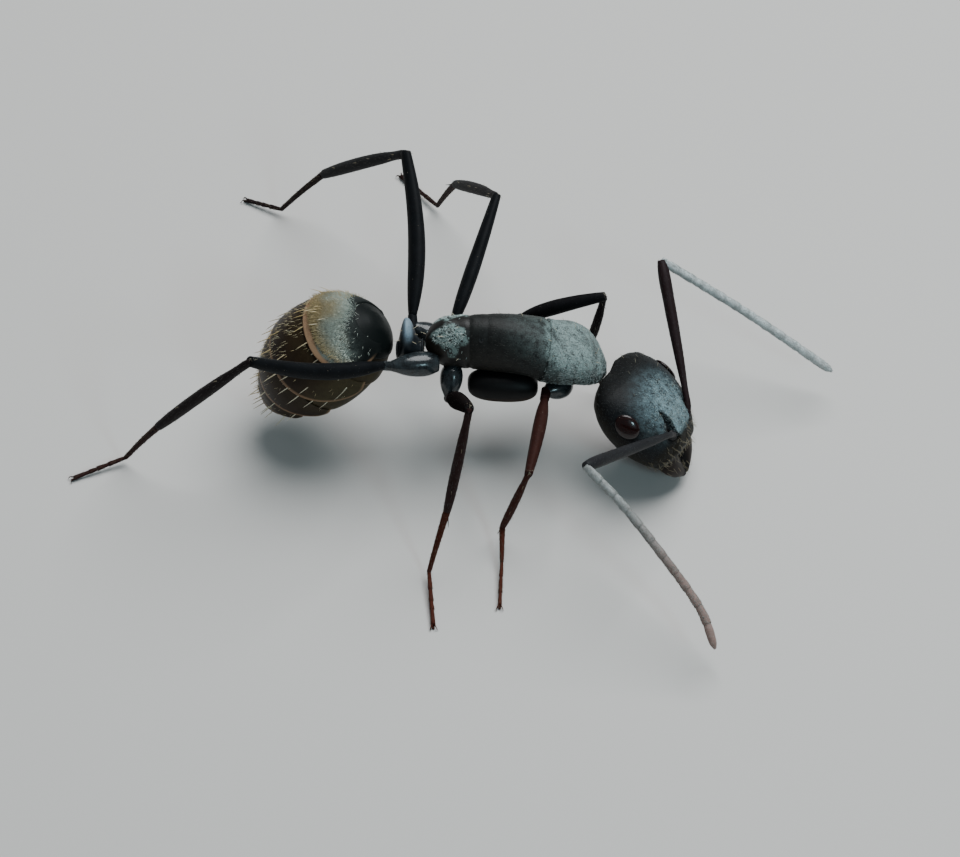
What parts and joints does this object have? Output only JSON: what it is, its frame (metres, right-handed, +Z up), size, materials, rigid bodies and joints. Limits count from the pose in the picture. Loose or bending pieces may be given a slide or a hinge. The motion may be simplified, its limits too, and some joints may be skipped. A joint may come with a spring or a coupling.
{
  "type": "carpenter ant model",
  "caption": "Life-size still model of a dark worker ant with a golden-haired gaster, standing on its feet with the head turned and bent down and both feelers spread.",
  "frame": {"origin": "on the floor below the middle of the model's bounding box", "axes": "+X runs from the gaster towards the head, along the middle body; +Y points to the ant's left; +Z is up"},
  "size_m": [0.0138, 0.0118, 0.0041],
  "materials": {
    "shell_black": "satin, near black with a faint blue-grey bloom",
    "shell_frosted": "matte, silvery grey-green frosting",
    "shell_brassy": "satin, olive brown with a golden down",
    "shell_downy": "matte, silver-grey down",
    "shell_rust": "satin, dark red-brown",
    "eye": "glossy, dark red-brown"
  },
  "bodies": {
    "root": {"propodeum": "shell_black", "mesothorax": "shell_black", "pronotum": "shell_frosted", "petiole": "shell_black", "gaster_1": "shell_black", "gaster_2": "shell_brassy", "gaster_3": "shell_brassy", "gaster_4": "shell_brassy", "head": "shell_black", "eye_left": "eye", "eye_right": "eye", "mandible_left": "shell_rust", "mandible_right": "shell_rust", "scape_left": "shell_black", "scape_right": "shell_black", "funiculus_left": "shell_downy", "funiculus_right": "shell_downy", "coxa_hind_left": "shell_black", "coxa_hind_right": "shell_black", "coxa_mid_left": "shell_black", "coxa_mid_right": "shell_black", "coxa_fore_left": "shell_black", "coxa_fore_right": "shell_black", "femur_hind_left": "shell_black", "femur_hind_right": "shell_black", "femur_mid_left": "shell_black", "femur_mid_right": "shell_black", "femur_fore_left": "shell_black", "femur_fore_right": "shell_black", "tibia_hind_left": "shell_rust", "tibia_hind_right": "shell_rust", "tibia_mid_left": "shell_rust", "tibia_mid_right": "shell_rust", "tibia_fore_left": "shell_rust", "tibia_fore_right": "shell_rust", "tarsus_hind_left": "shell_rust", "tarsus_hind_right": "shell_rust", "tarsus_mid_left": "shell_rust", "tarsus_mid_right": "shell_rust", "tarsus_fore_left": "shell_rust", "tarsus_fore_right": "shell_rust"}
  },
  "joints": []
}
